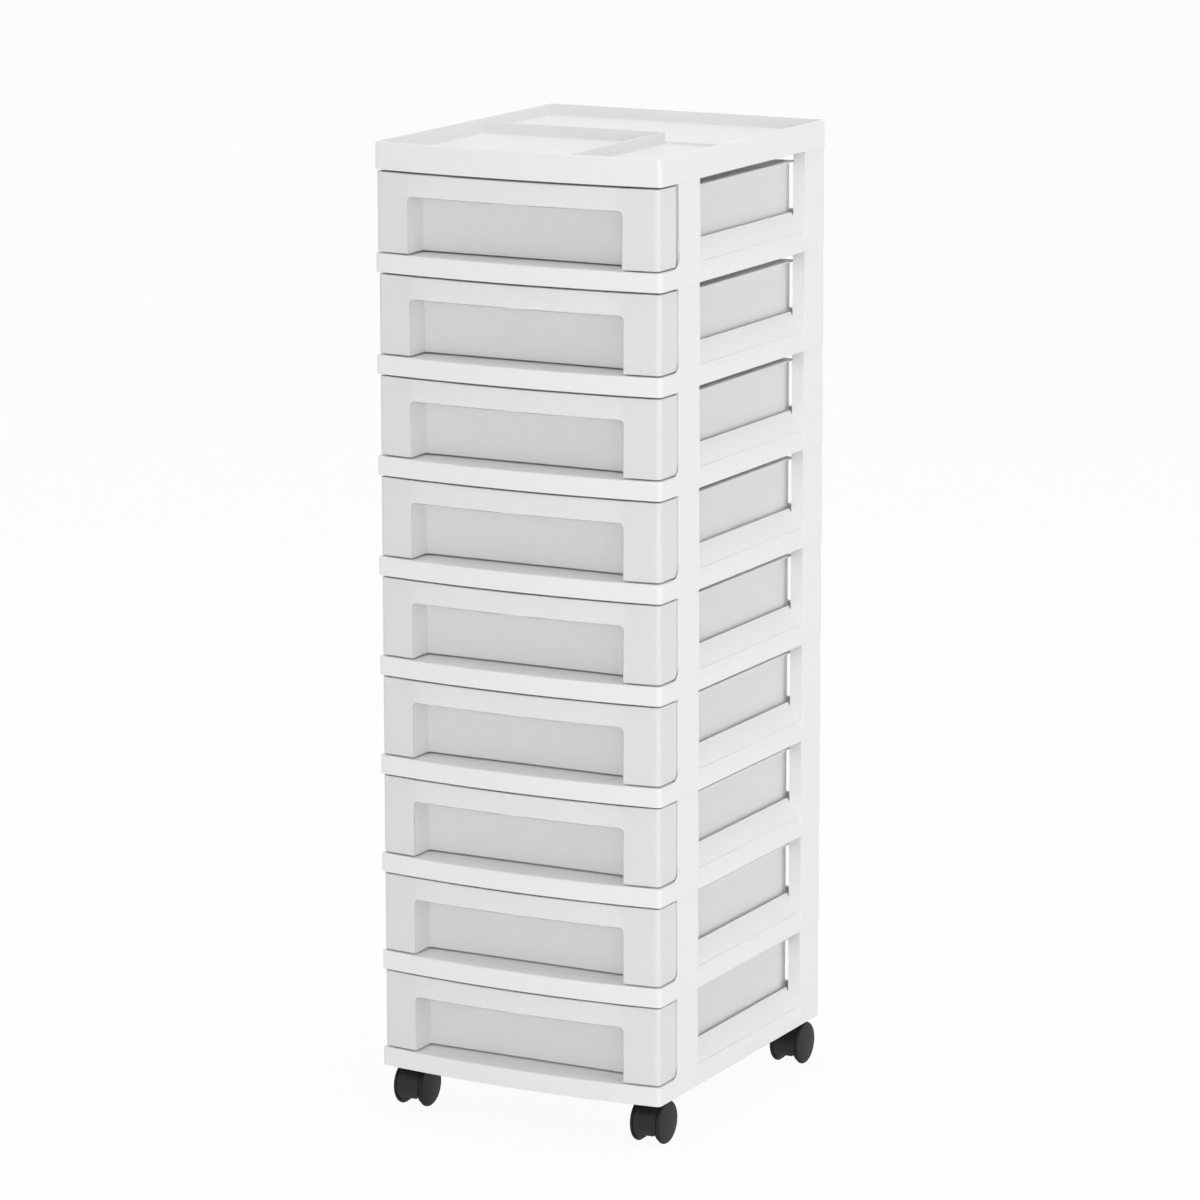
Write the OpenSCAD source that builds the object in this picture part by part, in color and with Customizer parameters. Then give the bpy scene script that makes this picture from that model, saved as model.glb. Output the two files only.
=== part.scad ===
// Plastic drawer tower: an open tray on nine stacking frames, each with a sliding
// drawer, on four twin-wheel casters. Millimetres. X is the width, -Y the front and
// +Z up. The origin is on the floor, under the middle of the tray.

/* [Tower] */
// Width of a frame at its foot
frame_w = 304; // [296:1:330]
// Depth of a frame, from its flat front corners to its back
frame_d = 352; // [340:1:380]
// How far the bowed front stands ahead of its corners
front_bow = 10; // [5:0.5:14]
// Height of one drawer level
level_h = 97.6; // [94:0.1:110]
// Floor to the foot of the lowest frame
caster_h = 45; // [44:0.5:50]
// Wall of the white mouldings
frame_wall = 2.2; // [1.8:0.1:2.4]
// Radius of the front corners
front_r = 5; // [4:0.5:10]
// Radius of the back corners
back_r = 3; // [3:0.5:6]

/* [Frame] */
// Height of the front lip, up to the top of the deck
lip_h = 18.4; // [17:0.1:20]
// Height of the upright strip at the foot of the side panels
strip_h = 11; // [8:0.5:14]
// Height of the sloped panels
panel_h = 36.2; // [30:0.1:44]
// How far the sloped panels lean inwards
panel_lean = 15.7; // [14:0.1:16.4]
// Length of a post, front to back
post_len = 43; // [40:0.5:46]
// Thickness of a post, side to side
post_t = 14.3; // [13:0.1:16]
// Radius of the fillet between the lip and a front post
lip_fillet_r = 12; // [4:0.5:16]
// How far the front posts stand behind the flat front corners
post_set = 38.7; // [36:0.1:42]
// How much a post narrows from foot to top
post_draft = 1.2; // [0.6:0.1:1.4]
// Height of the peg on each post
peg_h = 8; // [6:0.5:8]
// Gap between a peg and its socket
peg_gap = 0.3; // [0.2:0.05:0.5]
// Gap between the guide rails' inner faces and the drawer
rail_gap = 1; // [0.6:0.1:1.5]
// Thickness of the guide rails
rail_t = 2; // [1.6:0.1:2.2]
// Height of the guide rails above the deck
rail_h = 6; // [4:0.5:8]
// Thickness of the ribs under a deck
rib_t = 1.6; // [1.2:0.1:2]
// Height of the ribs under a deck
rib_h = 4; // [2:0.5:8]

/* [Drawer] */
// Gap between the drawer's box and the posts
box_gap = 7; // [5:0.5:12]
// How far the front of the box stands ahead of the front posts
box_front_set = 12.2; // [4:0.1:20]
// Gap between the drawer's box and the back of its frame
box_back_gap = 34.4; // [28:0.1:60]
// Wall of the drawer
drawer_wall = 1.8; // [1.4:0.1:2]
// Height of the box's rim above the frame's foot
box_rim_z = 87; // [70:0.5:88]
// How far the rim's flange stands out
flange_w = 3.5; // [2.5:0.1:4]
// Running gap between the drawer's runners and the deck
runner_gap = 0.3; // [0.2:0.05:0.5]
// Height of the runners under the box
runner_h = 2.7; // [2.6:0.1:3.2]
// How far the drawer's front is inset from the frame's sides
front_inset = 2.2; // [1.8:0.1:4]
// How far the drawer's front is set back from the lip
front_setback = 2.5; // [1.5:0.5:5]
// Gap between the drawer's front and the posts behind it
front_post_gap = 1.2; // [0.8:0.1:2]
// Gap between the drawer's front and the lip below it
front_gap = 1.5; // [1:0.1:2]
// Gap between the drawer's front and the frame above it
head_gap = 1.9; // [1.5:0.1:3]
// Width of the stile on each side of the recess
stile_w = 36.8; // [34:0.1:60]
// Height of the rail over the recess
grip_rail_h = 21.9; // [16:0.1:26]
// Radius of the recess's upper corners
recess_r = 4; // [2:0.5:8]
// How far a drawer slides out
slide_travel = 238; // [180:1:240]
// How far the top drawer stands out at rest
top_drawer_out = 2.5; // [0:0.5:12]

/* [Tray] */
// Height of the tray's rim
tray_h = 26.5; // [24:0.5:34]
// How far the tray overhangs the frame below
tray_over = 0; // [0:0.1:2.5]
// How far the sides and the back of the tray lean inwards
tray_draft = 1.2; // [0.4:0.1:1.6]
// Wall of the tray's rim
tray_wall = 3; // [2.4:0.1:3.2]
// Height of the rear bay's floor above the tray's foot
rear_floor_z = 14.5; // [12.5:0.1:16]
// Height of the front bays' floor above the tray's foot
front_floor_z = 11; // [11:0.1:12]
// Height of the partition above the tray's foot
partition_z = 23; // [18:0.5:23]
// Length of the rear bay, front to back
rear_bay_len = 134; // [90:1:150]
// Width of the right front bay
right_bay_w = 102.5; // [80:0.5:130]

/* [Casters] */
// Distance of the front stems from the frame's sides
front_stem_in = 22; // [22:0.5:28]
// Distance of the rear stems from the frame's sides
rear_stem_in = 18.5; // [18.5:0.5:24]
// How far the front stems stand behind the flat front corners
front_stem_set = 37.6; // [30:0.1:40]
// How far the rear stems stand ahead of the back
rear_stem_set = 15.6; // [15:0.1:24]
// How far the axle lies ahead of the stem
trail = 8; // [6:0.5:10]
// Gap between the wheels and the frame
wheel_gap = 2.5; // [2:0.1:4]
// Width over both wheels
caster_w = 33; // [30:0.5:34]
// Width of each wheel's flange beside the hood
wheel_flange_w = 4.2; // [4:0.1:6]
// Wall of the hood
hood_wall = 1.4; // [1.2:0.1:1.6]
// Stem diameter
stem_d = 8; // [7:0.1:8.4]
// Length of the stem inside the frame
stem_in = 14; // [13.5:0.1:14.4]
// Diameter of the grip ring
grip_ring_d = 9; // [8.8:0.1:9.4]
// Axle diameter
axle_d = 5; // [4:0.1:6]
// Radial running clearance of a turning piece
run_gap = 0.06; // [0.03:0.01:0.09]

/* [Hidden] */
LEVELS = 9;
SIDES = [-1, 1];
CORNERS = ["front_left", "front_right", "rear_left", "rear_right"];
CASTER_PIECES = ["stem", "grip_ring", "housing", "axle", "wheel_left", "wheel_right"];

WHITE = [0.93, 0.94, 0.95];
FROSTED = [0.86, 0.88, 0.9, 0.75];
BLACK = [0.1, 0.1, 0.11];
STEEL = [0.7, 0.71, 0.73];

BOW_STEPS = 16;
CORNER_STEPS = 5;
OVERLAP = 1;
CUT = 0.5;
REACH = 60;

// Plan of the tower: the tray's bowed front and its back are equally far from the origin
half_w = frame_w / 2;
back_y = (frame_d + front_bow) / 2;
front_y = back_y - frame_d;
bow_r = (half_w * half_w + front_bow * front_bow) / (2 * front_bow);
bow_cy = front_y - front_bow + bow_r;

// Frame
deck_t = frame_wall;
front_post_y = front_y + post_set;
rear_post_y = back_y - post_len;
post_in_x = half_w - post_t;
cavity_out_x = half_w - frame_wall - 0.4;
cavity_in_x = post_in_x + frame_wall;
panel_slope = panel_lean / (panel_h - strip_h);
box_half_w = post_in_x - box_gap;
rail_in_x = box_half_w + rail_gap;
rail_back_y = back_y - panel_lean - 3 * frame_wall;
deck_side_x = half_w - 2 * frame_wall;
rib_foot_z = lip_h - deck_t - rib_h;
rib_places_x = [for (i = [1 : 3]) half_w * (i / 2 - 1)];
rib_places_y = [for (i = [1 : 3]) front_y + frame_d * i / 4];
socket_r = grip_ring_d / 2 + 0.1;
socket_depth = stem_in + 1;
boss_r = socket_r + frame_wall + 0.3;
stem_front_y = front_y + front_stem_set;
stem_rear_y = back_y - rear_stem_set;
stem_places = [
    [front_stem_in - half_w, stem_front_y],
    [half_w - front_stem_in, stem_front_y],
    [rear_stem_in - half_w, stem_rear_y],
    [half_w - rear_stem_in, stem_rear_y]
];

// Drawer
box_front_y = front_post_y - box_front_set;
hood_back_y = front_post_y - front_post_gap;
box_back_y = back_y - box_back_gap;
box_foot_z = lip_h + runner_gap;
box_floor_z = box_foot_z + runner_h;
drawer_foot_z = lip_h + front_gap;
drawer_top_z = level_h - head_gap;
grip_foot_z = drawer_top_z - grip_rail_h;
recess_half_w = half_w - front_inset - stile_w;
runner_in = 13;
runner_x = box_half_w - runner_in;
runner_t = 2.5;
foot_len = 4;
foot_half_w = 60;
stop_gap = 0.3;
stop_len = 4;
stop_half_w = 12;
stop_h = runner_h - 0.1;
stop_y = box_back_y - foot_len - slide_travel - stop_gap;

// Tray
tray_z = caster_h + LEVELS * level_h;
partition_y = back_y + tray_over - tray_wall - rear_bay_len;
partition_x = half_w + tray_over - tray_wall - right_bay_w - frame_wall;

// Casters
wheel_r = (caster_h - wheel_gap) / 2;
hood_r = wheel_r - 0.3;
drum_r = hood_r - hood_wall - 0.4;
wheel_out_x = caster_w / 2;
flange_in_x = wheel_out_x - wheel_flange_w;
hood_w = 2 * (flange_in_x - 0.5);
hub_in_x = 6.8;
hub_r = 8;
drum_in_x = max(flange_in_x - 3.3, hub_in_x + 0.7);
boss_half_w = hub_in_x - 0.3;
tread_edge_r = 2.4;
face_crown = 0.8;
collar_r = 6.2;
collar_h = 1.1;
housing_top_z = caster_h - collar_h - 0.3;
stem_foot_z = housing_top_z - 16;
snap_z = stem_foot_z + 3;
snap_h = 2;
snap_out = 0.5;
ring_groove_z = caster_h + 7;
ring_groove_h = 4;
ring_groove_in = 0.6;
axle_half = wheel_out_x - 2.7;
hood_front_a = -30;
hood_back_a = 150;
hood_corner_r = 6;

// Points of an upright outline with a bowed front. half is half of its width, r_bow the
// radius of the bow about the tower's own centre of bow, and back the place of its back.
function bowed_points(half, r_bow, back, r_f, r_b) =
    let (
        fx = half - r_f,
        fy = bow_cy - sqrt(pow(r_bow - r_f, 2) - fx * fx),
        turn = asin(fx / (r_bow - r_f))
    )
    concat(
        [for (i = [0 : BOW_STEPS])
            let (a = turn * (2 * i / BOW_STEPS - 1))
            [r_bow * sin(a), bow_cy - r_bow * cos(a)]],
        [for (i = [1 : CORNER_STEPS])
            let (a = turn + (90 - turn) * i / CORNER_STEPS)
            [fx + r_f * sin(a), fy - r_f * cos(a)]],
        [for (i = [0 : CORNER_STEPS])
            let (a = 90 * i / CORNER_STEPS)
            [half - r_b + r_b * cos(a), back - r_b + r_b * sin(a)]],
        [for (i = [0 : CORNER_STEPS])
            let (a = 90 + 90 * i / CORNER_STEPS)
            [r_b - half + r_b * cos(a), back - r_b + r_b * sin(a)]],
        [for (i = [0 : CORNER_STEPS - 1])
            let (a = -90 + (90 - turn) * i / CORNER_STEPS)
            [r_f * sin(a) - fx, fy - r_f * cos(a)]]
    );

// A slab with the tower's outline, inset all round, between two heights
module outline_slab(inset, z0, z1) {
    translate([0, 0, z0])
        linear_extrude(z1 - z0)
        polygon(bowed_points(half_w - inset, bow_r - inset, back_y - inset,
            max(front_r - inset, 1), max(back_r - inset, 1)));
}

// A block between two corners
module block(low, high) {
    translate(low) cube(high - low);
}

// What lies ahead of, or behind, a place along Y
module ahead_of(y, z0, z1) {
    block([-half_w - REACH, front_y - REACH, z0], [half_w + REACH, y, z1]);
}

module behind(y, z0, z1) {
    block([-half_w - REACH, y, z0], [half_w + REACH, back_y + REACH, z1]);
}

// ---- Frame ----

// Four upright blocks where the posts are, drawn in by a wall
module post_blocks(in_wall, out_x, in_y, z0, z1) {
    for (s = SIDES)
        for (y = [front_post_y, rear_post_y])
            mirror([s > 0 ? 0 : 1, 0, 0])
            block([post_in_x + in_wall, y + in_y, z0], [out_x, y + post_len - in_y, z1]);
}

// Space that the drafted posts stay inside
module draft_space() {
    intersection() {
        rotate([90, 0, 0])
            linear_extrude(2 * frame_d, center = true)
            polygon([[-half_w, 0], [half_w, 0], [half_w, strip_h],
                [half_w - post_draft, level_h], [post_draft - half_w, level_h],
                [-half_w, strip_h]]);
        rotate([90, 0, 90])
            linear_extrude(2 * frame_w, center = true)
            polygon([[-frame_d, 0], [back_y, 0], [back_y, strip_h],
                [back_y - post_draft, level_h], [-frame_d, level_h]]);
    }
}

module posts() {
    intersection() {
        post_blocks(0, half_w, 0, 0, level_h);
        draft_space();
        outline_slab(0, 0, level_h);
    }
}

// Webs that round the corner between the lip's top and the front posts
module lip_fillets() {
    r = lip_fillet_r;
    for (s = SIDES)
        mirror([s > 0 ? 0 : 1, 0, 0])
        translate([half_w - front_inset / 2, front_post_y - r, lip_h])
        rotate([90, 0, 90])
        linear_extrude(front_inset / 2)
        difference() {
            translate([0, -OVERLAP])
                square([r + OVERLAP, r + OVERLAP]);
            translate([0, r])
                circle(r = r, $fn = 64);
        }
}

module pegs() {
    difference() {
        post_blocks(frame_wall + peg_gap, cavity_out_x - peg_gap, frame_wall + peg_gap,
            level_h - OVERLAP, level_h + peg_h);
        post_blocks(2 * frame_wall, cavity_out_x - frame_wall, 2 * frame_wall,
            level_h + 1, level_h + peg_h + CUT);
    }
}

module post_cavities() {
    post_blocks(frame_wall, cavity_out_x, frame_wall, -CUT, level_h - frame_wall);
}

// Section of a sloped panel: an upright strip, then a wall that leans inwards to a round lip
module panel_section(out) {
    t = frame_wall * sqrt(1 + panel_slope * panel_slope);
    polygon([
        [out, 0],
        [out, strip_h],
        [out - panel_lean, panel_h],
        [out - panel_lean - t, panel_h],
        [out - frame_wall, strip_h - 1],
        [out - frame_wall, 0]
    ]);
    translate([out - panel_lean - t / 2, panel_h])
        circle(r = t / 2, $fn = 24);
}

module side_panels() {
    y0 = front_post_y + post_len - OVERLAP;
    for (s = SIDES)
        mirror([s > 0 ? 0 : 1, 0, 0])
        translate([0, rear_post_y + OVERLAP, 0])
        rotate([90, 0, 0])
        linear_extrude(rear_post_y + OVERLAP - y0)
        panel_section(half_w);
}

module rear_panel() {
    rotate([90, 0, 90])
        linear_extrude(2 * (post_in_x + OVERLAP), center = true)
        panel_section(back_y);
}

// Outer skirt, which stands full height round the front and at strip height elsewhere
module skirt() {
    difference() {
        union() {
            outline_slab(0, 0, strip_h);
            intersection() {
                outline_slab(0, 0, lip_h);
                ahead_of(front_post_y + OVERLAP, 0, lip_h);
            }
        }
        outline_slab(frame_wall, -CUT, lip_h + CUT);
    }
}

module deck() {
    z0 = lip_h - deck_t;
    intersection() {
        outline_slab(frame_wall / 2, z0, lip_h);
        ahead_of(front_post_y + OVERLAP, z0, lip_h);
    }
    block([-deck_side_x, front_post_y, z0], [deck_side_x, back_y - 2 * frame_wall, lip_h]);
}

module deck_ribs() {
    z1 = lip_h - deck_t + CUT;
    for (y = rib_places_y)
        block([-half_w + frame_wall / 2, y - rib_t / 2, rib_foot_z],
            [half_w - frame_wall / 2, y + rib_t / 2, z1]);
    for (x = rib_places_x)
        block([x - rib_t / 2, front_y, rib_foot_z], [x + rib_t / 2, back_y - frame_wall / 2, z1]);
}

module stem_bosses() {
    for (p = stem_places)
        translate([p[0], p[1], 0])
        cylinder(h = lip_h - CUT, r = boss_r, $fn = 48);
}

module stem_sockets() {
    for (p = stem_places)
        translate([p[0], p[1], -CUT])
        cylinder(h = socket_depth + CUT, r = socket_r, $fn = 48);
}

module guide_rails() {
    for (s = SIDES)
        mirror([s > 0 ? 0 : 1, 0, 0])
        block([rail_in_x, front_post_y + 2, lip_h - CUT],
            [rail_in_x + rail_t, rail_back_y, lip_h + rail_h]);
}

module stop_nub() {
    block([-stop_half_w, stop_y - stop_len, lip_h - CUT], [stop_half_w, stop_y, lip_h + stop_h]);
}

module frame(n) {
    color(WHITE)
    translate([0, 0, caster_h + (n - 1) * level_h])
    difference() {
        union() {
            skirt();
            deck();
            deck_ribs();
            stem_bosses();
            side_panels();
            rear_panel();
            guide_rails();
            stop_nub();
            posts();
            lip_fillets();
            pegs();
        }
        post_cavities();
        stem_sockets();
    }
}

// ---- Drawer ----

// A slab with the outline of the drawer's front, drawn in by a wall
module front_slab(in_wall, back, z0, z1) {
    translate([0, 0, z0])
        linear_extrude(z1 - z0)
        intersection() {
            polygon(bowed_points(half_w - front_inset - in_wall, bow_r - front_setback - in_wall,
                back_y, front_r - in_wall, back_r));
            translate([-half_w, front_y - REACH])
                square([2 * half_w, back - front_y + REACH]);
        }
}

module recess_space() {
    translate([0, box_front_y, 0])
        rotate([90, 0, 0])
        linear_extrude(REACH)
        recess_arch();
}

// Upright arch of the recess, with round upper corners
module recess_arch() {
    z0 = drawer_foot_z - CUT;
    translate([-recess_half_w, z0])
        square([2 * recess_half_w, grip_foot_z - recess_r - z0]);
    translate([recess_r - recess_half_w, z0])
        square([2 * (recess_half_w - recess_r), grip_foot_z - z0]);
    for (s = SIDES)
        translate([s * (recess_half_w - recess_r), grip_foot_z - recess_r])
        circle(r = recess_r, $fn = 32);
}

// Hooded front: two hollow stiles and a hollow grip rail, open at the back and underneath
module drawer_front() {
    difference() {
        front_slab(0, hood_back_y, drawer_foot_z, drawer_top_z);
        front_slab(drawer_wall, hood_back_y + CUT,
            drawer_foot_z + drawer_wall, drawer_top_z - drawer_wall);
        recess_space();
    }
    intersection() {
        front_slab(drawer_wall / 2, box_front_y + drawer_wall, drawer_foot_z, drawer_top_z - CUT);
        for (s = SIDES)
            mirror([s > 0 ? 0 : 1, 0, 0])
            block([recess_half_w, front_y - REACH, drawer_foot_z],
                [recess_half_w + drawer_wall, box_front_y + drawer_wall, drawer_top_z]);
    }
}

// Window wall: the front of the box, as high as the grip rail
module window_wall() {
    block([-box_half_w, box_front_y, drawer_foot_z],
        [box_half_w, box_front_y + drawer_wall, drawer_top_z - CUT]);
}

module drawer_box() {
    in_x = box_half_w - drawer_wall;
    difference() {
        union() {
            block([-box_half_w, box_front_y, box_floor_z], [box_half_w, box_back_y, box_rim_z]);
            block([-box_half_w - flange_w, box_front_y + 8, box_rim_z - drawer_wall],
                [box_half_w + flange_w, box_back_y + flange_w, box_rim_z]);
        }
        block([-in_x, box_front_y + drawer_wall, box_floor_z + drawer_wall],
            [in_x, box_back_y - drawer_wall, box_rim_z + CUT]);
    }
}

module runners() {
    for (s = SIDES)
        mirror([s > 0 ? 0 : 1, 0, 0])
        block([runner_x, box_front_y + 4, box_foot_z],
            [runner_x + runner_t, box_back_y, box_floor_z + CUT]);
    block([-foot_half_w, box_back_y - foot_len, box_foot_z + 0.3],
        [foot_half_w, box_back_y, box_floor_z + CUT]);
}

module drawer(n) {
    color(FROSTED)
    translate([0, n == LEVELS ? -top_drawer_out : 0, caster_h + (n - 1) * level_h]) {
        drawer_box();
        window_wall();
        drawer_front();
        runners();
    }
}

// ---- Tray ----

// Space that the drafted rim stays inside
module tray_draft_space() {
    out_x = half_w + tray_over;
    out_y = back_y + tray_over;
    intersection() {
        rotate([90, 0, 0])
            linear_extrude(2 * frame_d, center = true)
            polygon([[-out_x, 0], [out_x, 0], [out_x - tray_draft, tray_h],
                [tray_draft - out_x, tray_h]]);
        rotate([90, 0, 90])
            linear_extrude(2 * frame_w, center = true)
            polygon([[-frame_d, 0], [out_y, 0], [out_y - tray_draft, tray_h], [-frame_d, tray_h]]);
    }
}

module tray_shell() {
    difference() {
        intersection() {
            outline_slab(-tray_over, 0, tray_h);
            tray_draft_space();
        }
        outline_slab(tray_wall - tray_over, rear_floor_z, tray_h + CUT);
        intersection() {
            outline_slab(tray_wall - tray_over, front_floor_z, tray_h + CUT);
            ahead_of(partition_y - frame_wall, front_floor_z, tray_h + CUT);
        }
        intersection() {
            outline_slab(tray_wall - tray_over, -CUT, rear_floor_z - frame_wall);
            behind(partition_y, -CUT, rear_floor_z - frame_wall);
        }
        intersection() {
            outline_slab(tray_wall - tray_over, -CUT, front_floor_z - frame_wall);
            ahead_of(partition_y + CUT, -CUT, front_floor_z - frame_wall);
        }
    }
}

// Partition that stands round the left front bay
module partition() {
    z0 = front_floor_z - CUT;
    intersection() {
        outline_slab(tray_wall / 2 - tray_over, z0, partition_z);
        union() {
            block([-half_w - tray_over, partition_y - frame_wall, z0],
                [partition_x + frame_wall, partition_y, partition_z]);
            block([partition_x, front_y - front_bow, z0],
                [partition_x + frame_wall, partition_y, partition_z]);
        }
    }
}

// Blocks for the sockets that drop over the top frame's pegs
module tray_corners() {
    intersection() {
        post_blocks(0, half_w, 0, 0, front_floor_z - CUT);
        outline_slab(0, 0, front_floor_z);
        tray_draft_space();
    }
}

module tray_sockets() {
    post_blocks(frame_wall, cavity_out_x, frame_wall, -CUT, peg_h + peg_gap);
}

module tray_ribs() {
    z1 = front_floor_z - frame_wall + CUT;
    z0 = z1 - CUT - rib_h;
    for (y = rib_places_y)
        block([-half_w + frame_wall, y - rib_t / 2, z0], [half_w - frame_wall, y + rib_t / 2, z1]);
    for (x = rib_places_x)
        block([x - rib_t / 2, front_y, z0], [x + rib_t / 2, back_y - frame_wall, z1]);
}

module organizer_tray() {
    color(WHITE)
    translate([0, 0, tray_z])
    difference() {
        union() {
            tray_shell();
            partition();
            tray_corners();
            tray_ribs();
        }
        tray_sockets();
    }
}

// ---- Casters ----

// Profile of a stem: snap bead below, collar under the frame, groove for the grip ring
module stem() {
    r = stem_d / 2;
    top = caster_h + stem_in;
    groove_top = ring_groove_z + ring_groove_h;
    color(STEEL)
    rotate_extrude($fn = 64)
    polygon([
        [0, stem_foot_z],
        [r - 0.6, stem_foot_z],
        [r, stem_foot_z + 0.6],
        [r, snap_z],
        [r + snap_out, snap_z + snap_h / 4],
        [r + snap_out, snap_z + snap_h * 3 / 4],
        [r, snap_z + snap_h],
        [r, caster_h - collar_h],
        [collar_r, caster_h - collar_h],
        [collar_r, caster_h],
        [r, caster_h],
        [r, ring_groove_z],
        [r - ring_groove_in, ring_groove_z],
        [r - ring_groove_in, groove_top],
        [r, groove_top],
        [r, top - 0.8],
        [r - 0.8, top],
        [0, top]
    ]);
}

// Split spring ring in the stem's groove
module grip_ring() {
    gap = 0.2;
    color(STEEL)
    difference() {
        translate([0, 0, ring_groove_z + gap])
            cylinder(h = ring_groove_h - 2 * gap, r = grip_ring_d / 2, $fn = 64);
        translate([0, 0, ring_groove_z])
            cylinder(h = ring_groove_h, r = stem_d / 2 - ring_groove_in + gap, $fn = 64);
        block([-0.8, 0, ring_groove_z], [0.8, grip_ring_d, ring_groove_z + ring_groove_h]);
    }
}

// Round bar along X, centred on the axle
module cross_bar(r, half) {
    translate([0, -trail, wheel_r])
        rotate([0, 90, 0])
        cylinder(h = 2 * half, r = r, center = true, $fn = 96);
}

// Wedge about the axle between two angles, counted upwards from the front
module wedge(half, a0, a1) {
    reach = 2 * wheel_r;
    translate([0, -trail, wheel_r])
        rotate([90, 0, 90])
        linear_extrude(2 * half, center = true)
        polygon(concat([[0, 0]],
            [for (i = [0 : 6]) let (a = a0 + (a1 - a0) * i / 6) [-reach * cos(a), reach * sin(a)]]));
}

// Front view of the hood, with round lower corners
module hood_outline() {
    r = hood_corner_r;
    half = hood_w / 2;
    z0 = wheel_r + hood_r * sin(hood_front_a) - 0.6;
    rotate([90, 0, 0])
        linear_extrude(4 * wheel_r + 2 * trail, center = true)
        union() {
            translate([-half, z0 + r])
                square([2 * half, caster_h]);
            translate([r - half, z0])
                square([2 * (half - r), caster_h]);
            for (s = SIDES)
                translate([s * (half - r), z0 + r])
                circle(r = r, $fn = 32);
        }
}

module housing() {
    color(BLACK)
    difference() {
        union() {
            difference() {
                intersection() {
                    cross_bar(hood_r, hood_w / 2);
                    wedge(hood_w, hood_front_a, hood_back_a);
                    hood_outline();
                }
                cross_bar(hood_r - hood_wall, hood_w);
            }
            intersection() {
                cross_bar(hood_r - hood_wall / 2, boss_half_w / 2);
                wedge(hood_w, 0, hood_back_a);
            }
            cross_bar(axle_d / 2 + 3, boss_half_w);
            translate([0, 0, stem_foot_z - 1.8])
                cylinder(h = housing_top_z - stem_foot_z + 1.8, r = collar_r + 0.1, $fn = 64);
        }
        translate([0, 0, stem_foot_z - 0.3])
            cylinder(h = caster_h, r = stem_d / 2 + run_gap, $fn = 64);
        translate([0, 0, snap_z - run_gap])
            cylinder(h = snap_h + 2 * run_gap, r = stem_d / 2 + snap_out + run_gap, $fn = 64);
        cross_bar(axle_d / 2 + 0.02, wheel_out_x);
    }
}

module axle() {
    color(STEEL) cross_bar(axle_d / 2, axle_half);
}

// Wheel profile, radius against distance from the caster's middle: hub, drum under the
// hood, flange with a round tread edge, and a crowned outer face
function wheel_profile() = let (
        edge_x = wheel_out_x - face_crown - tread_edge_r,
        face_r = wheel_r - tread_edge_r
    )
    concat(
        [[0, hub_in_x], [hub_r, hub_in_x], [hub_r, drum_in_x], [drum_r - 0.8, drum_in_x],
            [drum_r, drum_in_x + 0.8], [drum_r, flange_in_x], [wheel_r - 0.4, flange_in_x],
            [wheel_r, flange_in_x + 0.4]],
        [for (i = [0 : 6])
            let (a = 15 * i)
            [face_r + tread_edge_r * cos(a), edge_x + tread_edge_r * sin(a)]],
        [for (i = [1 : 6])
            let (r = face_r * (1 - i / 6))
            [r, wheel_out_x - face_crown * pow(r / face_r, 2)]]
    );

module wheel(s) {
    color(BLACK)
    translate([0, -trail, wheel_r])
        mirror([s > 0 ? 0 : 1, 0, 0])
        rotate([0, 90, 0])
        difference() {
            rotate_extrude($fn = 96) polygon(wheel_profile());
            translate([0, 0, hub_in_x - CUT])
                cylinder(h = axle_half + 0.3 - hub_in_x + CUT, r = axle_d / 2 + run_gap, $fn = 48);
        }
}

module caster_piece(piece) {
    if (piece == "stem") stem();
    if (piece == "grip_ring") grip_ring();
    if (piece == "housing") housing();
    if (piece == "axle") axle();
    if (piece == "wheel_left") wheel(-1);
    if (piece == "wheel_right") wheel(1);
}

organizer_tray();
for (n = [1 : LEVELS])
    frame(n);
for (n = [1 : LEVELS])
    drawer(n);
for (c = [0 : 3])
    for (p = CASTER_PIECES)
    translate([stem_places[c][0], stem_places[c][1], 0])
    caster_piece(p);
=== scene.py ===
import math

import bmesh
import bpy
from mathutils import Matrix, Vector


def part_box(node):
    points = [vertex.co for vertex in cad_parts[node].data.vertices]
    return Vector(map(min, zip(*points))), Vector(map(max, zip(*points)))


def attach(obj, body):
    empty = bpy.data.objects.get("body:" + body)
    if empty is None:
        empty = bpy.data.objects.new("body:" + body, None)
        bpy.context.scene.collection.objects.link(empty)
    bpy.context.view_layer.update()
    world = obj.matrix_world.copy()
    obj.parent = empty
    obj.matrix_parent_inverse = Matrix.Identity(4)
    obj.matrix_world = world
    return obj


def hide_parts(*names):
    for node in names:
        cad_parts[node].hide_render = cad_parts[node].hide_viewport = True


bl_info = {
    "name": "Rolling drawer tower",
    "version": (1, 0, 0),
    "blender": (4, 5, 0),
    "location": "3D View > Sidebar > Drawer Tower",
    "description": "Dresses the packed drawer tower and sets up a plain studio",
    "category": "Object",
}

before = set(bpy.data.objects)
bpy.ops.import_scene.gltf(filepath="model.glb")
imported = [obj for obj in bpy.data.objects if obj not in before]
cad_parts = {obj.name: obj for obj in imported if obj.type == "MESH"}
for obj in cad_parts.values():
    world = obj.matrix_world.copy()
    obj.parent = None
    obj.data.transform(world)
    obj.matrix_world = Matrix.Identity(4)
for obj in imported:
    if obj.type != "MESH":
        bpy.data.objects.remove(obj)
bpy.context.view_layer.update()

MM = 0.001
LEVELS = 9
CORNERS = ("front_left", "front_right", "rear_left", "rear_right")

FRAME_LOW, FRAME_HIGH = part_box("frame_1")
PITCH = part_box("frame_2")[0].z - FRAME_LOW.z
DRAWER_LOW, DRAWER_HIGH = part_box("drawer_1")
TRAY_LOW, TRAY_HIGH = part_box("organizer_tray")

# Every frame and drawer is made about the first frame's foot, and moved up level by level
LEVEL_FOOT = Vector((0, 0, FRAME_LOW.z))

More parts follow.
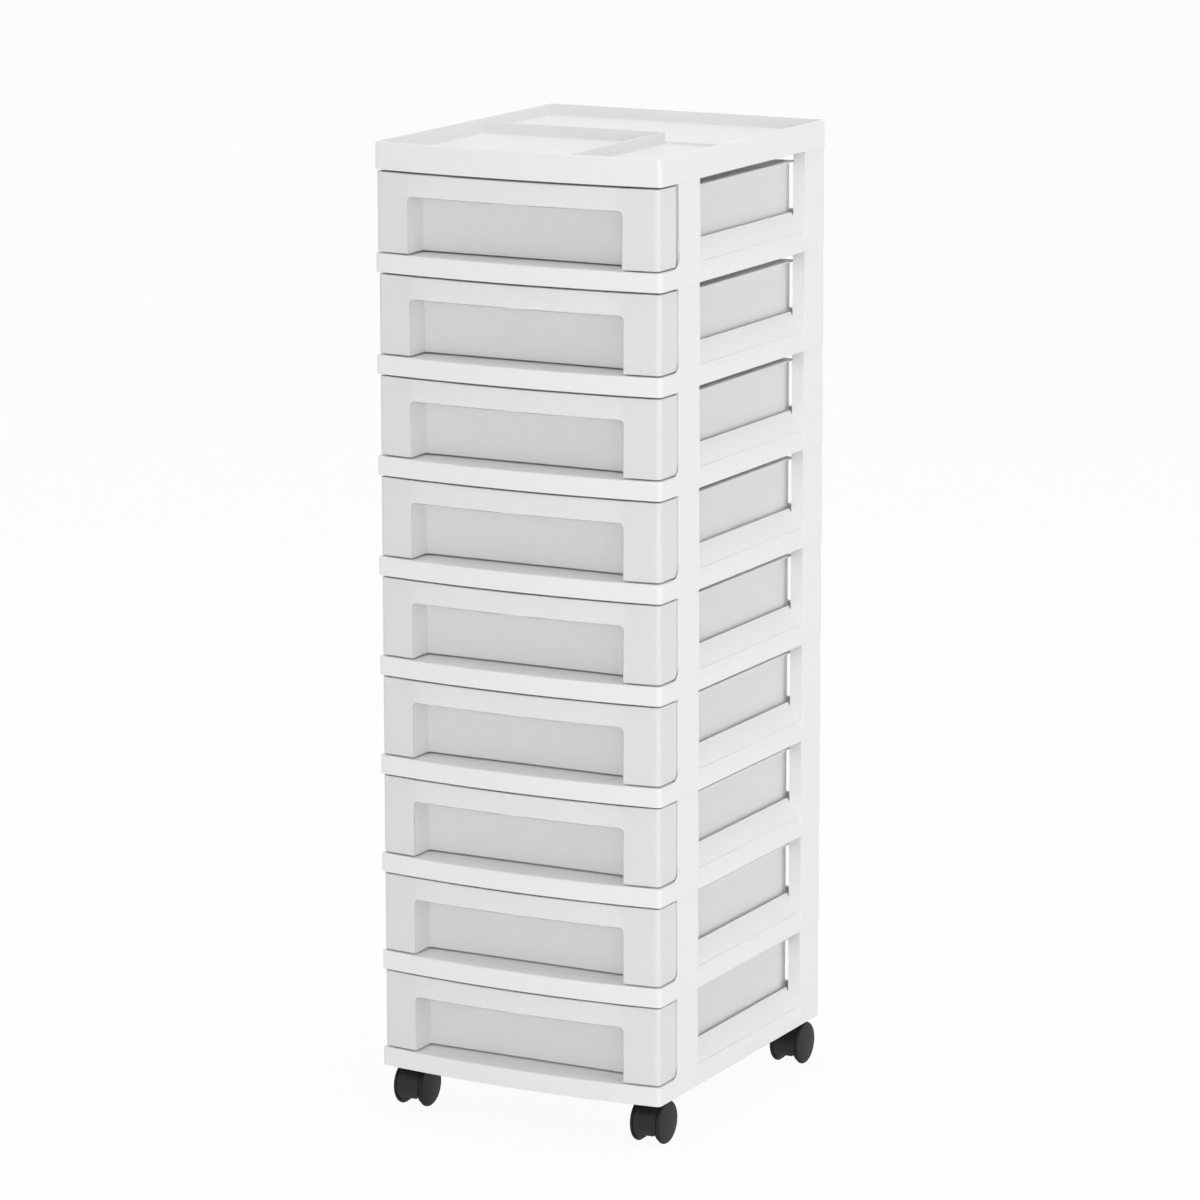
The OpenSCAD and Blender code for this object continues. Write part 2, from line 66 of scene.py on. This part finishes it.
# A frame: its lip's height, how far back from the front the lip's edge runs, the top of the
# strip under the sloped panels, how far the panels lean in for each metre up, and how far
# inside the frame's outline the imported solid's ribs end
LIP_TOP = 18.4 * MM
LIP_DEPTH = 30 * MM
STRIP_TOP = 11.0 * MM
PANEL_LEAN = 0.6228
RIB_END = 1.1 * MM

# A drawer: its top edge, its recess's half width and top, the window at the back of the
# recess, and how far its face stands behind the bow of the lips
DRAWER_TOP = 95.7 * MM
RECESS_SIDE = 113.0 * MM
RECESS_TOP = 73.8 * MM
WINDOW_Y = -144.5 * MM
FACE_INSET = 2.5 * MM

# The tray: its rim's height, how near its outline the rim's outer edge lies, and its floors
TRAY_RIM = 26.5 * MM
RIM_BAND = 2 * MM
TRAY_REAR_FLOOR = 14.5 * MM
TRAY_FRONT_FLOOR = 11.0 * MM

# How closely places are compared, points are welded and faces count as one plane, the
# shortest edge that is rounded, and the angles from which an edge is sharp
SLACK = 0.02 * MM
WELD = 2e-6
ONE_PLANE = math.radians(0.3)
SHORTEST_EDGE = 0.3 * MM
SHARP_EDGE = math.radians(30.0)
SHARP_SHADING = math.radians(35.0)

# How much more a large face counts than a small one in the normals, where 50 is alike
FLAT_FACE_WEIGHT = 80

# The bow of the front: its radius and the place of its centre
BOW_R = 1160.2 * MM
BOW_Y = 979.2 * MM

# Where the photograph was taken from: the place in metres in the CAD's frame, the angles in
# degrees, and the lens and sensor in millimetres
CAMERA_PLACE = Vector((2.33280, -4.44760, 1.55094))
CAMERA_AZIMUTH, CAMERA_ELEVATION, CAMERA_ROLL = 27.69453, 11.91526, -0.05759
CAMERA_LENS = 158.1056
SENSOR = 36.0

# The studio: the floor's half width, its colour and the share of it that shows as white,
# the world, and each lamp's name, place, size, power and tint
FLOOR_REACH = 30.0
FLOOR_COLOUR = (0.97, 0.97, 0.97, 1)
FLOOR_WHITE_SHARE = 0.94
WORLD_COLOUR = (0.98, 0.99, 1.0, 1)
WORLD_STRENGTH = 0.555
WHITE = (1, 1, 1, 1)
LAMP_AIM = Vector((0, 0, 0.5))
LAMPS = (
    ("key", (1.4, -4.6, 0.7), 2.4, 52.0, (0.98, 0.99, 1.0)),
    ("front", (3.0, -3.6, 0.7), 2.6, 18.0, (0.95, 0.98, 1.0)),
    ("side", (4.6, -0.4, 0.8), 2.4, 42.0, (1.0, 0.975, 0.93)),
    ("top", (0.2, 0.1, 4.2), 2.6, 46.0, (1.0, 1.0, 1.0)),
)


# ---- Sizes and colours that a user would change ----


class TowerRounding(bpy.types.PropertyGroup):
    lip: bpy.props.FloatProperty(
        name="Lip", description="Radius along the top of a frame's lip",
        default=1.5 * MM, min=0.0, unit="LENGTH")
    edge: bpy.props.FloatProperty(
        name="Edges", description="Radius of the mouldings' other edges",
        default=0.5 * MM, min=0.0, unit="LENGTH")
    front: bpy.props.FloatProperty(
        name="Drawer front", description="Radius along the top of a drawer's front",
        default=0.5 * MM, min=0.0, unit="LENGTH")
    arch: bpy.props.FloatProperty(
        name="Recess edge", description="Radius along the edge of a drawer's recess",
        default=1.0 * MM, min=0.0, unit="LENGTH")
    bend: bpy.props.FloatProperty(
        name="Recess bend", description="Radius where a recess's sides meet its window",
        default=1.5 * MM, min=0.0, unit="LENGTH")
    rim: bpy.props.FloatProperty(
        name="Tray rim", description="Radius along the outside of the tray's rim",
        default=1.1 * MM, min=0.0, unit="LENGTH")
    cove: bpy.props.FloatProperty(
        name="Tray cove", description="Radius between the tray's floors and its walls",
        default=2.0 * MM, min=0.0, unit="LENGTH")
    caster: bpy.props.FloatProperty(
        name="Casters", description="Radius of the casters' edges",
        default=0.3 * MM, min=0.0, unit="LENGTH")


class TowerColours(bpy.types.PropertyGroup):
    white: bpy.props.FloatVectorProperty(
        name="White", description="Colour of the tray and the frames",
        subtype="COLOR", size=3, min=0.0, max=1.0, default=(0.885, 0.883, 0.875))
    frosted: bpy.props.FloatVectorProperty(
        name="Frosted", description="Colour of the drawers",
        subtype="COLOR", size=3, min=0.0, max=1.0, default=(0.988, 0.987, 0.98))
    black: bpy.props.FloatVectorProperty(
        name="Black", description="Colour of the casters",
        subtype="COLOR", size=3, min=0.0, max=1.0, default=(0.009, 0.0092, 0.0098))
    steel: bpy.props.FloatVectorProperty(
        name="Steel", description="Colour of the stems and axles",
        subtype="COLOR", size=3, min=0.0, max=1.0, default=(0.62, 0.63, 0.65))


# ---- Shader node helpers ----


def add_node(tree, kind, inputs=(), **settings):
    """A node of a kind, with its settings and its input values or links"""
    node = tree.nodes.new(kind)
    for name, value in settings.items():
        setattr(node, name, value)
    for key, value in dict(inputs).items():
        socket = node.inputs[key]
        if isinstance(value, bpy.types.NodeSocket):
            tree.links.new(value, socket)
        else:
            socket.default_value = value
    return node


def new_group(name, inputs, outputs):
    """An empty shader node group with named inputs and outputs, and its two end nodes"""
    tree = bpy.data.node_groups.new(name, "ShaderNodeTree")
    for label, kind, value in inputs:
        socket = tree.interface.new_socket(label, in_out="INPUT", socket_type=kind)
        socket.default_value = value
    for label, kind in outputs:
        tree.interface.new_socket(label, in_out="OUTPUT", socket_type=kind)
    return tree, tree.nodes.new("NodeGroupInput"), tree.nodes.new("NodeGroupOutput")


def moulded_surface():
    """Fine mould grain and slow flow waves, as a height, a roughness and a tone"""
    name = "moulded_surface"
    if name in bpy.data.node_groups:
        return bpy.data.node_groups[name]
    tree, given, out = new_group(name, [
        ("Grain Scale", "NodeSocketFloat", 2600.0),
        ("Grain Height", "NodeSocketFloat", 0.25),
        ("Wave Scale", "NodeSocketFloat", 16.0),
        ("Wave Height", "NodeSocketFloat", 1.0),
        ("Roughness Low", "NodeSocketFloat", 0.3),
        ("Roughness High", "NodeSocketFloat", 0.4),
        ("Tone Spread", "NodeSocketFloat", 0.02),
    ], [
        ("Height", "NodeSocketFloat"),
        ("Roughness", "NodeSocketFloat"),
        ("Tone", "NodeSocketFloat"),
    ])
    where = add_node(tree, "ShaderNodeTexCoord").outputs["Object"]
    grain = add_node(tree, "ShaderNodeTexNoise",
        {"Vector": where, "Scale": given.outputs["Grain Scale"], "Detail": 2.0})
    wave = add_node(tree, "ShaderNodeTexNoise",
        {"Vector": where, "Scale": given.outputs["Wave Scale"], "Detail": 1.0, "Distortion": 0.3})
    patch = add_node(tree, "ShaderNodeTexNoise", {"Vector": where, "Scale": 9.0, "Detail": 3.0})
    fine = add_node(tree, "ShaderNodeMath",
        {0: grain.outputs["Fac"], 1: given.outputs["Grain Height"]}, operation="MULTIPLY")
    slow = add_node(tree, "ShaderNodeMath",
        {0: wave.outputs["Fac"], 1: given.outputs["Wave Height"]}, operation="MULTIPLY")
    height = add_node(tree, "ShaderNodeMath",
        {0: fine.outputs[0], 1: slow.outputs[0]}, operation="ADD")
    rough = add_node(tree, "ShaderNodeMapRange", {
        "Value": patch.outputs["Fac"], "From Min": 0.3, "From Max": 0.7,
        "To Min": given.outputs["Roughness Low"], "To Max": given.outputs["Roughness High"]})
    centred = add_node(tree, "ShaderNodeMath",
        {0: patch.outputs["Fac"], 1: 0.5}, operation="SUBTRACT")
    spread = add_node(tree, "ShaderNodeMath",
        {0: centred.outputs[0], 1: given.outputs["Tone Spread"]}, operation="MULTIPLY")
    tone = add_node(tree, "ShaderNodeMath", {0: spread.outputs[0], 1: 1.0}, operation="ADD")
    tree.links.new(height.outputs[0], out.inputs["Height"])
    tree.links.new(rough.outputs[0], out.inputs["Roughness"])
    tree.links.new(tone.outputs[0], out.inputs["Tone"])
    return tree


def place_group(tree, group, **values):
    """A group in a material, with its own values"""
    node = tree.nodes.new("ShaderNodeGroup")
    node.node_tree = group
    for label, value in values.items():
        node.inputs[label.replace("_", " ").title()].default_value = value
    return node


def surface_finish(name, colour, shader_values, bump, **surface):
    """A plastic or metal: a Principled shader that the moulded surface group varies"""
    if name in bpy.data.materials:
        return bpy.data.materials[name]
    material = bpy.data.materials.new(name)
    material.use_nodes = True
    tree = material.node_tree
    tree.nodes.clear()
    skin = place_group(tree, moulded_surface(), **surface)
    tinted = add_node(tree, "ShaderNodeVectorMath",
        {0: tuple(colour), "Scale": skin.outputs["Tone"]}, operation="SCALE")
    normal = add_node(tree, "ShaderNodeBump",
        {"Strength": bump, "Distance": 0.0004, "Height": skin.outputs["Height"]})
    shader = add_node(tree, "ShaderNodeBsdfPrincipled", {
        "Base Color": tinted.outputs[0], "Roughness": skin.outputs["Roughness"],
        "Normal": normal.outputs[0], **shader_values})
    out = tree.nodes.new("ShaderNodeOutputMaterial")
    tree.links.new(shader.outputs[0], out.inputs["Surface"])
    return material


def white_plastic():
    return surface_finish("white_polypropylene", bpy.context.scene.tower_colours.white,
        {"IOR": 1.49, "Specular IOR Level": 0.4}, bump=0.25,
        roughness_low=0.36, roughness_high=0.44)


def frosted_plastic():
    return surface_finish("frosted_polypropylene", bpy.context.scene.tower_colours.frosted,
        {"IOR": 1.2, "Transmission Weight": 0.15, "Subsurface Weight": 1.0,
            "Subsurface Radius": (1.0, 1.0, 0.95), "Subsurface Scale": 1.5 * MM}, bump=0.25,
        roughness_low=0.42, roughness_high=0.5)


def black_nylon():
    return surface_finish("black_nylon", bpy.context.scene.tower_colours.black,
        {"IOR": 1.45, "Specular IOR Level": 0.4}, bump=0.4,
        roughness_low=0.38, roughness_high=0.5, tone_spread=0.2)


def wheel_nylon():
    return surface_finish("wheel_nylon", bpy.context.scene.tower_colours.black,
        {"IOR": 1.45, "Specular IOR Level": 0.26}, bump=0.5,
        roughness_low=0.42, roughness_high=0.58, tone_spread=0.3)


def zinc_steel():
    return surface_finish("zinc_steel", bpy.context.scene.tower_colours.steel,
        {"Metallic": 1.0}, bump=0.4, grain_scale=900.0,
        roughness_low=0.25, roughness_high=0.42, tone_spread=0.25)


def spring_steel():
    return surface_finish("spring_steel", [0.8 * c for c in bpy.context.scene.tower_colours.steel],
        {"Metallic": 1.0}, bump=0.4, grain_scale=1400.0,
        roughness_low=0.2, roughness_high=0.34, tone_spread=0.2)


# ---- Mesh helpers ----


def join_flat(bm, weld):
    """Welds points closer than this, and joins the triangles that lie in one plane"""
    bmesh.ops.remove_doubles(bm, verts=bm.verts, dist=weld)
    bmesh.ops.dissolve_limit(bm, angle_limit=ONE_PLANE, verts=bm.verts, edges=bm.edges)
    bm.normal_update()


def solid_copy(node, origin):
    """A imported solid's mesh about its own origin, with its flat triangles joined"""
    bm = bmesh.new()
    bm.from_mesh(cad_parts[node].data)
    bmesh.ops.translate(bm, verts=bm.verts, vec=-origin)
    join_flat(bm, WELD)
    return bm


def trim_rib_ends(bm):
    """Draws the ends of the deck's ribs back into the sloped side and rear panels"""
    for vert in bm.verts:
        rise = vert.co.z - STRIP_TOP
        for axis in (0, 1):
            reach = abs(vert.co[axis])
            if (0 < rise < LIP_TOP - STRIP_TOP - SLACK
                    and abs(reach - (FRAME_HIGH[axis] - RIB_END)) < SLACK):
                vert.co[axis] = math.copysign(
                    FRAME_HIGH[axis] - rise * PANEL_LEAN, vert.co[axis])
    join_flat(bm, SLACK)


def sharp(edge):
    return len(edge.link_faces) == 2 and edge.calc_face_angle(0.0) > SHARP_EDGE


def long_sharp(bm):
    """All sharp edges that are long enough to be rounded"""
    return [e for e in bm.edges if sharp(e) and e.calc_length() > SHORTEST_EDGE]


def middle(edge):
    return (edge.verts[0].co + edge.verts[1].co) / 2


def level_with(edge, z):
    return all(abs(v.co.z - z) < SLACK for v in edge.verts)


def upright(edge):
    across = edge.verts[0].co - edge.verts[1].co
    return across.xy.length < SLACK


def bowed(x, inset):
    """How far forward the bowed front is at a place across it, drawn back by an inset"""
    return BOW_Y - math.sqrt((BOW_R - inset) ** 2 - x ** 2)


def inside_outline(edge, inset):
    """Whether an edge lies further in than an inset from the tower's outline"""
    spot = middle(edge)
    return (abs(spot.x) < TRAY_HIGH.x - inset and spot.y < TRAY_HIGH.y - inset
        and spot.y > bowed(spot.x, inset))


def round_off(bm, edges, radius, segments):
    """Rounds these edges"""
    bmesh.ops.bevel(
        bm, geom=edges, offset=radius, segments=segments, profile=0.5, affect="EDGES",
        offset_type="OFFSET", clamp_overlap=False, loop_slide=True)
    bm.normal_update()


def keep_inside(bm, low, high):
    """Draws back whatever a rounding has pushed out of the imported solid's box"""
    for vert in bm.verts:
        vert.co = [min(max(c, a), b) for c, a, b in zip(vert.co, low, high)]


def finish_mesh(bm, name, material):
    """A mesh that is smooth but for its sharp edges, with its flat faces kept flat"""
    mesh = bpy.data.meshes.new(name)
    bm.to_mesh(mesh)
    bm.free()
    mesh.materials.append(material)
    mesh.shade_smooth()
    mesh.set_sharp_from_angle(angle=SHARP_SHADING)
    return mesh


def shared_piece(mesh, name, place):
    """Another object of a mesh, at another place"""
    piece = bpy.data.objects.new(name, mesh)
    piece.location = place
    bpy.context.scene.collection.objects.link(piece)
    return piece


def stand_for(piece, node, body):
    """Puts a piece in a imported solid's stead, with normals that keep its flat faces flat"""
    modifier = piece.modifiers.new("weighted_normals", "WEIGHTED_NORMAL")
    modifier.keep_sharp = True
    modifier.weight = FLAT_FACE_WEIGHT
    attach(piece, body)
    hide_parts(node)


# ---- Pieces ----


class TOWER_OT_frames(bpy.types.Operator):
    """Makes the nine stacking frames with their rounded lips"""

    bl_idname = "tower.frames"
    bl_label = "Frames"

    def execute(self, context):
        rounding = context.scene.tower_rounding
        bm = solid_copy("frame_1", LEVEL_FOOT)
        trim_rib_ends(bm)
        lip = [e for e in bm.edges if sharp(e) and e.is_convex and level_with(e, LIP_TOP)
            and middle(e).y < FRAME_LOW.y + LIP_DEPTH]
        if not lip:
            raise RuntimeError("The frame has no lip to round")
        round_off(bm, lip, rounding.lip, 4)
        round_off(bm, long_sharp(bm), rounding.edge, 2)
        keep_inside(bm, FRAME_LOW - LEVEL_FOOT, FRAME_HIGH - LEVEL_FOOT)
        mesh = finish_mesh(bm, "frame_shell", white_plastic())
        for n in range(1, LEVELS + 1):
            place = (0, 0, FRAME_LOW.z + (n - 1) * PITCH)
            piece = shared_piece(mesh, f"frame_shell_{n}", place)
            stand_for(piece, f"frame_{n}", "tower")
        return {"FINISHED"}


class TOWER_OT_drawers(bpy.types.Operator):
    """Makes the nine frosted drawers"""

    bl_idname = "tower.drawers"
    bl_label = "Drawers"

    def execute(self, context):
        rounding = context.scene.tower_rounding
        bm = solid_copy("drawer_1", LEVEL_FOOT)
        bends = [e for e in bm.edges if sharp(e) and not e.is_convex and upright(e)
            and abs(abs(middle(e).x) - RECESS_SIDE) < SLACK
            and abs(middle(e).y - WINDOW_Y) < SLACK]
        if len(bends) != 2:
            raise RuntimeError("The drawer has no recess to round")
        round_off(bm, bends, rounding.bend, 6)
        tops = [e for e in bm.edges if sharp(e) and e.is_convex and level_with(e, DRAWER_TOP)]
        round_off(bm, tops, rounding.front, 3)
        arch = [e for e in bm.edges if sharp(e) and e.is_convex
            and abs(middle(e).x) < RECESS_SIDE + SLACK and middle(e).z < RECESS_TOP + SLACK
            and all(abs(v.co.y - bowed(v.co.x, FACE_INSET)) < 4 * SLACK for v in e.verts)]
        round_off(bm, arch, rounding.arch, 3)
        round_off(bm, long_sharp(bm), rounding.edge, 2)
        keep_inside(bm, DRAWER_LOW - LEVEL_FOOT, DRAWER_HIGH - LEVEL_FOOT)
        mesh = finish_mesh(bm, "drawer_shell", frosted_plastic())
        for n in range(1, LEVELS + 1):
            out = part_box(f"drawer_{n}")[0].y - DRAWER_LOW.y
            place = (0, out, FRAME_LOW.z + (n - 1) * PITCH)
            piece = shared_piece(mesh, f"drawer_shell_{n}", place)
            stand_for(piece, f"drawer_{n}", f"drawer_{n}_body")
        return {"FINISHED"}


class TOWER_OT_tray(bpy.types.Operator):
    """Makes the open tray on top"""

    bl_idname = "tower.tray"
    bl_label = "Tray"

    def execute(self, context):
        rounding = context.scene.tower_rounding
        foot = Vector((0, 0, TRAY_LOW.z))
        bm = solid_copy("organizer_tray", foot)
        rim = [e for e in bm.edges if sharp(e) and e.is_convex and level_with(e, TRAY_RIM)
            and not inside_outline(e, RIM_BAND)]
        coves = [e for e in bm.edges if sharp(e) and not e.is_convex
            and (level_with(e, TRAY_REAR_FLOOR) or level_with(e, TRAY_FRONT_FLOOR))]
        if not rim or not coves:
            raise RuntimeError("The tray has no rim or no floor to round")
        round_off(bm, rim, rounding.rim, 3)
        round_off(bm, coves, rounding.cove, 4)
        round_off(bm, long_sharp(bm), rounding.edge, 2)
        mesh = finish_mesh(bm, "tray_shell", white_plastic())
        piece = shared_piece(mesh, "tray_shell", foot)
        stand_for(piece, "organizer_tray", "tower")
        return {"FINISHED"}


class TOWER_OT_casters(bpy.types.Operator):
    """Makes the four twin-wheel casters"""

    bl_idname = "tower.casters"
    bl_label = "Casters"

    def execute(self, context):
        radius = context.scene.tower_rounding.caster
        looks = {
            "stem": (zinc_steel, "zinc_steel", "tower"),
            "grip_ring": (spring_steel, "spring_steel", "tower"),
            "housing": (black_nylon, "black_plastic", "caster_{}_fork"),
            "axle": (zinc_steel, "zinc_steel", "caster_{}_fork"),
            "wheel_left": (wheel_nylon, "wheel_plastic", "caster_{}_left_wheel"),
            "wheel_right": (wheel_nylon, "wheel_plastic", "caster_{}_right_wheel"),
        }
        home = stem_place(CORNERS[0])
        for part, (look, slot, body) in looks.items():
            bm = solid_copy(f"caster_{CORNERS[0]}_{part}", home)
            round_off(bm, long_sharp(bm), radius, 2)
            mesh = finish_mesh(bm, f"caster_{part}", look())
            for corner in CORNERS:
                piece = shared_piece(mesh, f"{corner}_{part}", stem_place(corner))
                stand_for(piece, f"caster_{corner}_{part}", body.format(corner))
        return {"FINISHED"}


def stem_place(corner):
    """Where a caster's stem stands on the floor"""
    low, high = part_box(f"caster_{corner}_stem")
    return Vector(((low.x + high.x) / 2, (low.y + high.y) / 2, 0))


# ---- Stage ----


def white_to_camera(tree, lit, white, share):
    """A shader that is white to the camera and in reflections, by a share, and lit otherwise"""
    path = add_node(tree, "ShaderNodeLightPath")
    seen = add_node(tree, "ShaderNodeMath",
        {0: path.outputs["Is Camera Ray"], 1: path.outputs["Is Glossy Ray"]}, operation="MAXIMUM")
    seen = add_node(tree, "ShaderNodeMath",
        {0: seen.outputs[0], 1: path.outputs["Is Transmission Ray"]}, operation="MAXIMUM")
    part = add_node(tree, "ShaderNodeMath", {0: seen.outputs[0], 1: share}, operation="MULTIPLY")
    return add_node(tree, "ShaderNodeMixShader",
        {0: part.outputs[0], 1: lit, 2: white}).outputs[0]


class TOWER_OT_stage(bpy.types.Operator):
    """Sets up the floor, the soft lights, the world and the camera"""

    bl_idname = "tower.stage"
    bl_label = "Studio"

    def execute(self, context):
        self.make_floor(context)
        self.make_lights(context)
        self.make_world(context)
        self.make_camera(context)
        context.scene.view_settings.view_transform = "Standard"
        return {"FINISHED"}

    def make_floor(self, context):
        bm = bmesh.new()
        bmesh.ops.create_grid(bm, x_segments=1, y_segments=1, size=FLOOR_REACH)
        mesh = finish_mesh(bm, "studio_floor", self.floor_paint())
        shared_piece(mesh, "studio_floor", (0, 0, 0))

    def floor_paint(self):
        material = bpy.data.materials.new("studio_floor")
        material.use_nodes = True
        tree = material.node_tree
        tree.nodes.clear()
        paint = add_node(tree, "ShaderNodeBsdfDiffuse", {"Color": FLOOR_COLOUR})
        white = add_node(tree, "ShaderNodeEmission", {"Color": WHITE, "Strength": 1.0})
        out = tree.nodes.new("ShaderNodeOutputMaterial")
        shown = white_to_camera(tree, paint.outputs[0], white.outputs[0], FLOOR_WHITE_SHARE)
        tree.links.new(shown, out.inputs["Surface"])
        return material

    def make_lights(self, context):
        for name, place, size, power, tint in LAMPS:
            data = bpy.data.lights.new(f"studio_{name}", "AREA")
            data.shape = "SQUARE"
            data.size = size
            data.energy = power
            data.color = tint
            lamp = bpy.data.objects.new(f"studio_{name}", data)
            lamp.location = place
            line = LAMP_AIM - Vector(place)
            lamp.rotation_euler = line.to_track_quat("-Z", "Y").to_euler()
            context.scene.collection.objects.link(lamp)

    def make_world(self, context):
        world = bpy.data.worlds.new("studio_world")
        world.use_nodes = True
        tree = world.node_tree
        tree.nodes.clear()
        sky = add_node(tree, "ShaderNodeBackground",
            {"Color": WORLD_COLOUR, "Strength": WORLD_STRENGTH})
        white = add_node(tree, "ShaderNodeBackground", {"Color": WHITE, "Strength": 1.0})
        out = tree.nodes.new("ShaderNodeOutputWorld")
        shown = white_to_camera(tree, sky.outputs[0], white.outputs[0], 1.0)
        tree.links.new(shown, out.inputs["Surface"])
        context.scene.world = world

    def make_camera(self, context):
        azimuth, elevation, roll = (
            math.radians(a) for a in (CAMERA_AZIMUTH, CAMERA_ELEVATION, CAMERA_ROLL))
        back = Vector((math.sin(azimuth) * math.cos(elevation),
            -math.cos(azimuth) * math.cos(elevation), math.sin(elevation)))
        right = Vector((math.cos(azimuth), math.sin(azimuth), 0))
        up = back.cross(right)
        rolled_right = math.cos(roll) * right + math.sin(roll) * up
        rolled_up = math.cos(roll) * up - math.sin(roll) * right
        data = bpy.data.cameras.new("photo_camera")
        data.lens = CAMERA_LENS
        data.sensor_width = SENSOR
        data.clip_start, data.clip_end = 0.1, 100.0
        camera = bpy.data.objects.new("photo_camera", data)
        turn = Matrix((rolled_right, rolled_up, back)).transposed().to_4x4()
        camera.matrix_world = Matrix.Translation(CAMERA_PLACE) @ turn
        context.scene.collection.objects.link(camera)
        context.scene.camera = camera


class TOWER_PT_panel(bpy.types.Panel):
    """Lists the tower's roundings, its colours and its operators"""

    bl_label = "Drawer Tower"
    bl_idname = "TOWER_PT_panel"
    bl_space_type = "VIEW_3D"
    bl_region_type = "UI"
    bl_category = "Drawer Tower"

    def draw(self, context):
        layout = self.layout
        for group in (context.scene.tower_rounding, context.scene.tower_colours):
            column = layout.column()
            for name in group.__annotations__:
                column.prop(group, name)
        for operator in OPERATORS:
            layout.operator(operator.bl_idname)


OPERATORS = (TOWER_OT_tray, TOWER_OT_frames, TOWER_OT_drawers, TOWER_OT_casters, TOWER_OT_stage)
CLASSES = (TowerRounding, TowerColours, *OPERATORS, TOWER_PT_panel)


def register():
    for cls in CLASSES:
        bpy.utils.register_class(cls)
    bpy.types.Scene.tower_rounding = bpy.props.PointerProperty(type=TowerRounding)
    bpy.types.Scene.tower_colours = bpy.props.PointerProperty(type=TowerColours)


def unregister():
    del bpy.types.Scene.tower_colours
    del bpy.types.Scene.tower_rounding
    for cls in reversed(CLASSES):
        bpy.utils.unregister_class(cls)


def main():
    register()
    bpy.ops.tower.tray()
    bpy.ops.tower.frames()
    bpy.ops.tower.drawers()
    bpy.ops.tower.casters()
    bpy.ops.tower.stage()
    bpy.context.view_layer.update()


if __name__ == "__main__":
    main()
